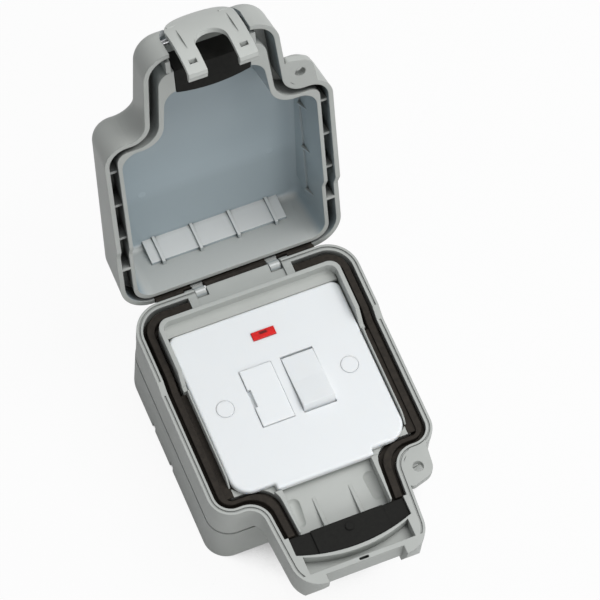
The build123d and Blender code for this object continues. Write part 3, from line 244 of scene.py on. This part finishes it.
def lid_inside(tree, coords):
    """One on faces that look into the lid's hollow, and nought outside it and on its ear."""
    at = coords.outputs["Object"]
    away = vector_node(tree, "SUBTRACT", at, lid_centre, output="Vector")
    outwards = vector_node(tree, "DOT_PRODUCT", away, coords.outputs["Normal"])
    inwards = spread(tree, outwards, to=(1.0, 0.0), given=inside_turn)
    beside_ear = math_node(tree, "LESS_THAN", part_of(tree, at, "X"), ear_from_x)
    below_ear = math_node(tree, "LESS_THAN", part_of(tree, at, "Z"), ear_from_z)
    return math_node(tree, "MULTIPLY", inwards, math_node(tree, "MAXIMUM", beside_ear, below_ear))


def lid_floor_tint_and_shade(tree, at, colour):
    """Colour of the lid's floor, with painted shade towards the latch and on the hinge side of a fold that
    its shape doesn't have.
    """
    broad = spread(tree, noise(tree, at, scale=11.0, detail=2.0), given=(0.35, 0.65))
    tint = varied(tree, broad, colour, low=0.95, high=1.05)
    along = vector_node(tree, "DOT_PRODUCT", at, lid_length_axis)
    # Painted shade towards the latch
    towards_latch = spread(tree, along, to=(0.0, 0.5), given=latch_span)
    tint = mix_colour(tree, towards_latch, tint, shade(colour, latch_shade))
    # Painted shade on the hinge side of the fold
    past_fold = spread(tree, along, to=(0.5, 0.0), given=fold_span)
    return mix_colour(tree, past_fold, tint, shade(colour, fold_shade))


def level_ledge(tree, at, upward):
    """One on the level faces of the ledge in the lid, which take a painted highlight."""
    off_centre = math_node(tree, "ABSOLUTE", part_of(tree, at, "X"))
    on_ledge = math_node(tree, "LESS_THAN", off_centre, ledge_half)
    return math_node(tree, "MULTIPLY", spread(tree, upward, given=ledge_turn), on_ledge)


def round_marks(tree, at):
    """One on the faint discs that the mould's ejectors leave on the lid's floor."""
    marks = None
    for centre in mark_centres:
        apart = vector_node(tree, "DISTANCE", at, centre)
        disc = spread(tree, apart, to=(1.0, 0.0), given=(mark_r - mark_edge, mark_r + mark_edge))
        marks = disc if marks is None else math_node(tree, "MAXIMUM", marks, disc)
    return marks


def lid_plastic(name, outside, inside, hinge_wall_lit, polished):
    """Satin plastic outside; smoother inside, with a cooler tint of painted reflection, painted light on
    faces that look up, a painted highlight on the ledge and near-black painted shade in its narrow channels.
    """
    mat, tree, shader, coords = new_material(name)
    at = coords.outputs["Object"]
    upward = part_of(tree, coords.outputs["Normal"], "Z")
    within = lid_inside(tree, coords)
    marks = round_marks(tree, at)
    cloud = noise(tree, at, scale=26.0, detail=4.0)
    fine = noise(tree, at, scale=2600.0, detail=2.0)
    flow = noise(tree, at, scale=120.0, detail=3.0)
    out_tint = varied(tree, spread(tree, cloud), outside, low=0.95, high=1.05)
    # Inside colour: painted cool reflection, with painted shade, light and highlight laid over it
    in_tint_and_light = lid_floor_tint_and_shade(tree, at, inside)
    # Painted light on inside faces that look up
    in_tint_and_light = mix_colour(tree, spread(tree, upward, given=hinge_wall_lit_turn), in_tint_and_light, hinge_wall_lit)
    # Painted highlight on the ledge
    in_tint_and_light = mix_colour(tree, level_ledge(tree, at, upward), in_tint_and_light, polished)
    faint_marks = math_node(tree, "MULTIPLY", marks, 0.5)
    in_tint_and_light = mix_colour(tree, faint_marks, in_tint_and_light, shade(inside, mark_shade))
    tint = mix_colour(tree, within, out_tint, in_tint_and_light)
    outside_rough, inside_rough = 0.42, 0.2
    # Near-black painted shade in the lid's narrow channels and crevices
    dress(tree, shader, {
        "Base Color": mix_colour(tree, crevice(tree, channel_depth), shade(outside, channel_shade), tint),
        "Roughness": spread(tree, within, to=(outside_rough, inside_rough), given=(0.0, 1.0)),
        "Specular IOR Level": satin_specular,
    })
    reliefs = [(flow, 0.05, flow_height), (fine, 0.08, grain_height), (marks, 0.6, mark_height)]
    bump(tree, shader, reliefs, soft_edges(tree))
    return mat


def rubber(name, colour, rough=0.62):
    """Matte rubber with a little dust on it."""
    mat, tree, shader, coords = new_material(name)
    at = coords.outputs["Object"]
    dust = noise(tree, at, scale=420.0, detail=5.0, rough=0.65)
    fine = noise(tree, at, scale=3200.0, detail=2.0)
    dress(tree, shader, {
        "Base Color": varied(tree, spread(tree, dust), colour, low=0.7, high=1.5),
        "Roughness": spread(tree, dust, to=(rough - 0.08, rough + 0.1)),
        "Specular IOR Level": rubber_specular,
    })
    bump(tree, shader, [(dust, 0.12, dust_height), (fine, 0.2, grain_height)], soft_edges(tree))
    return mat


def metal(name, colour, rough=0.32, stretch=(30.0, 900.0, 900.0)):
    """Metal with stains and with brush marks drawn out along the axis of least stretch."""
    mat, tree, shader, coords = new_material(name)
    at = coords.outputs["Object"]
    lay = tree.nodes.new("ShaderNodeMapping")
    dress(tree, lay, {"Vector": at, "Scale": stretch})
    brushed = noise(tree, lay.outputs["Vector"], scale=3.0, detail=4.0)
    stain = noise(tree, at, scale=300.0, detail=4.0)
    dress(tree, shader, {
        "Base Color": varied(tree, spread(tree, stain), colour, low=0.82, high=1.06),
        "Roughness": spread(tree, brushed, to=(rough - 0.1, rough + 0.12)),
        "Metallic": 1.0,
    })
    bump(tree, shader, [(brushed, 0.12, brush_height)])
    return mat


def lens(name, colour, core=()):
    """Tinted lens; its core, a middle and a half size on each axis, is where the lamp shows darker."""
    mat, tree, shader, coords = new_material(name)
    at = coords.outputs["Object"]
    flow = noise(tree, at, scale=500.0, detail=3.0)
    tint = varied(tree, spread(tree, flow), colour, low=0.8, high=1.2)
    blur = 0.3
    inside = None
    for axis, middle, half in core:
        offset = math_node(tree, "SUBTRACT", part_of(tree, at, axis), middle)
        span = math_node(tree, "ABSOLUTE", offset)
        within = spread(tree, span, to=(1.0, 0.0), given=((1 - blur) * half, (1 + blur) * half))
        inside = within if inside is None else math_node(tree, "MULTIPLY", inside, within)
    if inside is not None:
        tint = mix_colour(tree, inside, tint, shade(colour, 0.2))
    dress(tree, shader, {
        "Base Color": tint,
        "Roughness": spread(tree, flow, to=(0.10, 0.2)),
        "Specular IOR Level": satin_specular,
        "Coat Weight": 0.05,
        "Coat Roughness": 0.05,
    })
    bump(tree, shader, [(flow, 0.05, lens_height)], soft_edges(tree))
    return mat


def lamp_core():
    """Where the lamp's electrodes show, in the upper middle of the neon lens."""
    low, high = (Vector(corner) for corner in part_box("neon_lens"))
    middle = (low + high) / 2
    size = high - low
    rise = 0.12 * size.y
    return ("X", middle.x, 0.15 * size.x), ("Y", middle.y + rise, 0.12 * size.y)


grey = (0.43, 0.445, 0.425)
white = (0.80, 0.82, 0.83)
# Cooler copy of the lid's grey for its inside: painted cool reflection
lid_inner_reflection_grey = (0.375, 0.44, 0.47)
# Lighter copy for inside faces that look up, on the hinge wall: painted light
lid_hinge_wall_lit_grey = (0.50, 0.515, 0.50)
# Lighter still on the level ledge: painted highlight
lid_ledge_highlight_grey = (0.72, 0.73, 0.72)
gloss = dict(grain=0.002, vary=0.004, ripple=0.002, patch=0.008, glow=0.0015)
materials = {
    "frame_grey": plastic("frame_plastic", grey, painted_crevice_shade=0.75),
    "box_grey": plastic("box_plastic", shade(grey, 0.96), painted_crevice_shade=0.75),
    "lid_grey": lid_plastic("lid_plastic", grey, lid_inner_reflection_grey, lid_hinge_wall_lit_grey, lid_ledge_highlight_grey),
    # The latch's grey lightened by 1.16: painted light
    "latch_grey": plastic("latch_plastic_painted_light", shade(grey, 1.16), rough=0.38, painted_crevice_shade=0.6),
    "gasket": rubber("gasket_rubber", (0.026, 0.022, 0.018)),
    "seal_black": rubber("seal_rubber", (0.010, 0.010, 0.009), rough=0.6),
    "plate_white": plastic("plate_gloss", white, rough=0.24, **gloss),
    "rocker_white": plastic("rocker_gloss", white, rough=0.22, **gloss),
    "carrier_white": plastic("carrier_gloss", shade(white, 1.02), rough=0.22, **gloss),
    "neon_red": lens("neon_red_lens", (0.68, 0.008, 0.007), core=lamp_core()),
    "lamp_glass": lens("lamp_glass_tint", (0.75, 0.55, 0.42)),
    "module_plastic": plastic("module_moulding", (0.58, 0.58, 0.56), rough=0.5),
    "plunger_plastic": plastic("plunger_moulding", (0.55, 0.53, 0.48), rough=0.5),
    "pin_steel": metal("pin_steel_drawn", (0.56, 0.56, 0.57)),
    "screw_steel": metal("screw_steel_plated", (0.62, 0.60, 0.55), rough=0.28, stretch=(700.0, 700.0, 60.0)),
    "brass": metal("brass_turned", (0.72, 0.52, 0.22), rough=0.3, stretch=(600.0, 60.0, 600.0)),
    "fuse_ceramic": plastic("fuse_ceramic_glaze", (0.66, 0.62, 0.54), rough=0.3, grain=0.05, vary=0.06),
    "fuse_metal": metal("fuse_cap_plated", (0.68, 0.66, 0.62), rough=0.22),
}
for name, node in frame["nodes"].items():
    for place in node.material_slots:
        place.material = materials[slot_of[name]]


# Thin forms that dress the frame and the lid

smooth_below = math.radians(35.0)
hinge_trim_end = 0.0385


def add_piece(name, shape, body, slot):
    """Make an object of a finished shape, with its material, that rides on a body."""
    bmesh.ops.recalc_face_normals(shape, faces=shape.faces)
    mesh = bpy.data.meshes.new(name)
    shape.to_mesh(mesh)
    shape.free()
    mesh.polygons.foreach_set("use_smooth", [True] * len(mesh.polygons))
    mesh.set_sharp_from_angle(angle=smooth_below)
    mesh.materials.append(materials[slot])
    piece = bpy.data.objects.new(name, mesh)
    scene.collection.objects.link(piece)
    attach(piece, body)


def loft(shape, rings):
    """Skin a row of closed rings and cap both ends."""
    made = [[shape.verts.new(point) for point in ring] for ring in rings]
    for ring, after in zip(made, made[1:]):
        for k in range(len(ring)):
            n = (k + 1) % len(ring)
            shape.faces.new((ring[k], ring[n], after[n], after[k]))
    shape.faces.new(made[0])
    shape.faces.new(made[-1])


def along_x(shape, profile, spans):
    """Prisms of a side profile over spans of x."""
    for span in spans:
        loft(shape, [[(x, y, z) for y, z in profile] for x in span])


def hinge_spans(middle_half, outer_from):
    """Stretches of the hinge line between and outside its two knuckles."""
    return (
        (-middle_half, middle_half),
        (-hinge_trim_end, -outer_from),
        (outer_from, hinge_trim_end),
    )


def side_lips():
    """Lips of the recess beside the plate, from the high lip towards the tongue."""
    gap, rise, thick, edge = 0.0005, 0.0012, 0.0008, 0.0002
    inner = plate_high.x + gap
    outer = inner + thick
    foot, top, join_top = 0.0478, plate_high.z + rise, 0.0532
    start, join, fall_from, end = 0.0139, 0.0100, -0.0290, -0.0350
    steps = 40
    shape = bmesh.new()
    for side in (-1, 1):
        rings = []
        for step in range(steps + 1):
            y = start + (end - start) * step / steps
            crest = top
            if y > join:
                crest += (join_top - top) * (y - join) / (start - join)
            if y < fall_from:
                crest -= (top - foot - 2 * edge) * ((fall_from - y) / (fall_from - end)) ** 2
            ring = [(inner, foot), (inner, crest - edge), (inner + edge, crest)]
            ring += [(outer - edge, crest), (outer, crest - edge), (outer, foot)]
            rings.append([(side * x, y, z) for x, z in ring])
        loft(shape, rings)
    add_piece("side_lips", shape, "base", "frame_grey")


def recess_cove():
    """Shelf with a coved back between the plate's edge and the recess wall on the hinge side."""
    wall, half, foot, bend = 0.04668, 0.0416, 0.0486, 0.0012
    gap, drop, sink = 0.00003, 0.0004, 0.0001
    near, shelf = plate_high.y + gap, plate_high.z - drop
    steps = 8
    turns = [math.radians(90.0 * step / steps) for step in range(steps + 1)]
    profile = [(wall - bend * (1 - math.cos(a)), shelf + bend * (1 - math.sin(a))) for a in turns]
    profile += [(near, shelf), (near, foot), (wall + sink, foot), (wall + sink, shelf + bend)]
    shape = bmesh.new()
    along_x(shape, profile, [(-half, half)])
    add_piece("recess_cove", shape, "base", "frame_grey")


def hinge_strip():
    """Thin dark strip behind the sill, in the gasket's material, that makes the dark line between sill and
    lid, measured from the hinge axis and inside the lid edge's sweep.
    """
    wall, reach, edge = 0.00102, 0.0036, 0.00015
    low, high = 0.00125, 0.00195
    profile = [(wall, low), (reach - edge, low), (reach, low + edge), (reach - edge, high), (wall, high)]
    profile = [(axis_y + y, axis_z + z) for y, z in profile]
    shape = bmesh.new()
    along_x(shape, profile, hinge_spans(middle_half=0.0149, outer_from=0.0253))
    add_piece("hinge_strip", shape, "base", "gasket")


def lid_edge_dark_strip():
    """Dark strip on the lid's skirt at the hinge, in the gasket's material, that makes the dark line there,
    drawn shut and then swung open.
    """
    inner, outer, edge = 0.05655, 0.05925, 0.0003
    low, high = 0.05215, 0.0540
    profile = [(inner, high), (inner, low + edge), (inner + edge, low)]
    profile += [(outer - edge, low), (outer, low + edge), (outer, high)]
    shape = bmesh.new()
    along_x(shape, profile, hinge_spans(middle_half=0.0153, outer_from=0.0209))
    pivot = Vector((0.0, axis_y, axis_z))
    bmesh.ops.rotate(shape, cent=pivot, matrix=Matrix.Rotation(-opened, 3, "X"), verts=shape.verts)
    add_piece("lid_edge_dark_strip", shape, "lid", "gasket")


side_lips()
recess_cove()
hinge_strip()
lid_edge_dark_strip()


# Floor and light

floor_reach = 6.0
floor_drop = 0.0002
floor_grey = (0.62, 0.62, 0.62, 1.0)
floor_seen_share = 0.94
floor_mirrored_share = 0.3
shadow_reach = 0.09
shadow_range = (0.16, 0.46)
dome_tint = (0.97, 0.985, 1.0, 1.0)
dome_levels = (0.08, 0.58)
dome_towards = (0.5, -0.2, 0.84)
dome_seen_level = 1.0


def seen_rays(tree, mirrored=1.0):
    """How far a ray shows the background: to the camera or through glass in full, mirrored by a share."""
    path = tree.nodes.new("ShaderNodeLightPath")
    glossy = math_node(tree, "MULTIPLY", path.outputs["Is Glossy Ray"], mirrored)
    seen = math_node(tree, "MAXIMUM", path.outputs["Is Camera Ray"], glossy)
    return math_node(tree, "MAXIMUM", seen, path.outputs["Is Transmission Ray"])


def floor_material():
    """Pale floor that shows as white, and keeps a shadow where the object closes it in."""
    mat, tree, shader, _ = new_material("pale_floor")
    dress(tree, shader, {"Base Color": floor_grey, "Roughness": 0.9})
    shadow = tree.nodes.new("ShaderNodeAmbientOcclusion")
    shadow.samples = 16
    shadow.inputs["Distance"].default_value = shadow_reach
    glow = tree.nodes.new("ShaderNodeEmission")
    glow_level = spread(tree, shadow.outputs["AO"], to=(0.02, 1.0), given=shadow_range)
    dress(tree, glow, {"Color": (1.0, 1.0, 1.0, 1.0), "Strength": glow_level})
    seen = math_node(tree, "MULTIPLY", seen_rays(tree, floor_mirrored_share), floor_seen_share)
    both = tree.nodes.new("ShaderNodeMixShader")
    tree.links.new(seen, both.inputs[0])
    tree.links.new(shader.outputs["BSDF"], both.inputs[1])
    tree.links.new(glow.outputs["Emission"], both.inputs[2])
    tree.links.new(both.outputs["Shader"], tree.nodes["Material Output"].inputs["Surface"])
    return mat


def add_floor():
    corners = [(-1, -1), (1, -1), (1, 1), (-1, 1)]
    mesh = bpy.data.meshes.new("floor")
    mesh.from_pydata([(floor_reach * x, floor_reach * y, 0.0) for x, y in corners], [], [(0, 1, 2, 3)])
    mesh.materials.append(floor_material())
    floor = bpy.data.objects.new("floor", mesh)
    scene.collection.objects.link(floor)
    floor.location.z = -floor_drop


def add_dome():
    """Soft light from all round, stronger from above and the right, that shows as white."""
    world = bpy.data.worlds.new("studio")
    scene.world = world
    world.use_nodes = True
    sky = world.node_tree
    direction = sky.nodes.new("ShaderNodeTexCoord").outputs["Generated"]
    facing = vector_node(sky, "DOT_PRODUCT", direction, dome_towards)
    level = sky.nodes.new("ShaderNodeMix")
    dress(sky, level, {
        "Factor": seen_rays(sky),
        "A": spread(sky, facing, to=dome_levels, given=(-1.0, 1.0)),
        "B": dome_seen_level,
    })
    dress(sky, sky.nodes["Background"], {"Color": dome_tint, "Strength": level.outputs["Result"]})


def add_area(name, place, aim, size, power):
    data = bpy.data.lights.new(name, "AREA")
    data.shape = "RECTANGLE"
    data.size, data.size_y = size
    data.energy = power
    lamp = bpy.data.objects.new(name, data)
    scene.collection.objects.link(lamp)
    lamp.location = place
    lamp.rotation_euler = (Vector(aim) - Vector(place)).to_track_quat("-Z", "Y").to_euler()


add_floor()
add_dome()
add_area("key", place=(0.55, 0.10, 1.25), aim=(0.0, 0.03, 0.05), size=(0.7, 0.9), power=10.0)
add_area("fill", place=(0.35, -1.3, 0.75), aim=(0.0, 0.06, 0.09), size=(1.0, 0.7), power=5.8)


# Camera at the photo's angle

camera_azimuth = math.radians(-29.79)
camera_elevation = math.radians(64.40)
camera_roll = math.radians(7.67)
camera_distance = 1.9159
camera_target = Vector((0.02181, 0.03742, 0.051))
camera_lens = 255.13
camera_sensor = 36.0
camera_far = 50.0


def add_camera():
    behind = Vector((
        math.sin(camera_azimuth) * math.cos(camera_elevation),
        -math.cos(camera_azimuth) * math.cos(camera_elevation),
        math.sin(camera_elevation),
    ))
    level_right = Vector((math.cos(camera_azimuth), math.sin(camera_azimuth), 0.0))
    level_up = behind.cross(level_right)
    right = math.cos(camera_roll) * level_right + math.sin(camera_roll) * level_up
    up = math.cos(camera_roll) * level_up - math.sin(camera_roll) * level_right
    data = bpy.data.cameras.new("camera")
    data.sensor_width = camera_sensor
    data.lens = camera_lens
    data.clip_end = camera_far
    camera = bpy.data.objects.new("camera", data)
    scene.collection.objects.link(camera)
    turn = Matrix((right, up, behind)).transposed().to_4x4()
    camera.matrix_world = Matrix.Translation(camera_target + camera_distance * behind) @ turn
    scene.camera = camera


add_camera()
